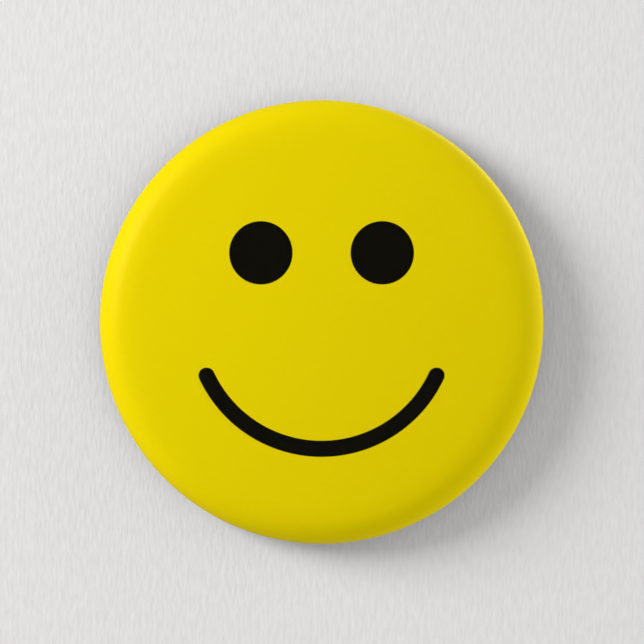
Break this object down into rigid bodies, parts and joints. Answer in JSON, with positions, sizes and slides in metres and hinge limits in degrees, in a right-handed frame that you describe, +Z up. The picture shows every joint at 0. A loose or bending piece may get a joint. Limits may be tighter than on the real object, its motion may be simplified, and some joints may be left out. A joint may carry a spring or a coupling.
{
  "type": "button badge",
  "caption": "Round pin-back button badge: domed printed face under clear film, pressed tinplate back, and a safety pin that hinges at its coil.",
  "frame": {"origin": "centre of the rolled rim's flat rear ring, where the badge lies against the garment", "axes": "+Z up as the badge is worn, with the picture upright; the face looks towards -Y and the garment is behind the badge, towards +Y; +X is to the right of somebody who looks at the face"},
  "size_m": [0.058, 0.008, 0.058],
  "materials": {
    "clear_film": "clear polyester film, satin gloss",
    "printed_paper": "yellow printed paper",
    "face_print": "black printing ink on the paper",
    "tinplate": "bright tinplate",
    "pin_wire": "nickel-plated spring wire",
    "clasp": "nickel-plated folded sheet"
  },
  "bodies": {
    "badge": {"clear_film": "clear_film", "face_print": "face_print", "printed_paper": "printed_paper", "front_shell": "tinplate", "back_plate": "tinplate", "pin_fixed_leg": "pin_wire", "pin_coil": "pin_wire", "pin_clasp": "clasp"},
    "pin_arm": {"pin_arm": "pin_wire"}
  },
  "joints": [
    {"name": "pin_hinge", "type": "hinge", "parent": "badge", "child": "pin_arm", "pos_m": [0.017, 0.00019, 0], "axis": [0, 0.766, -0.6428], "range_deg": [0, 50], "deforming": ["pin_coil"]}
  ]
}
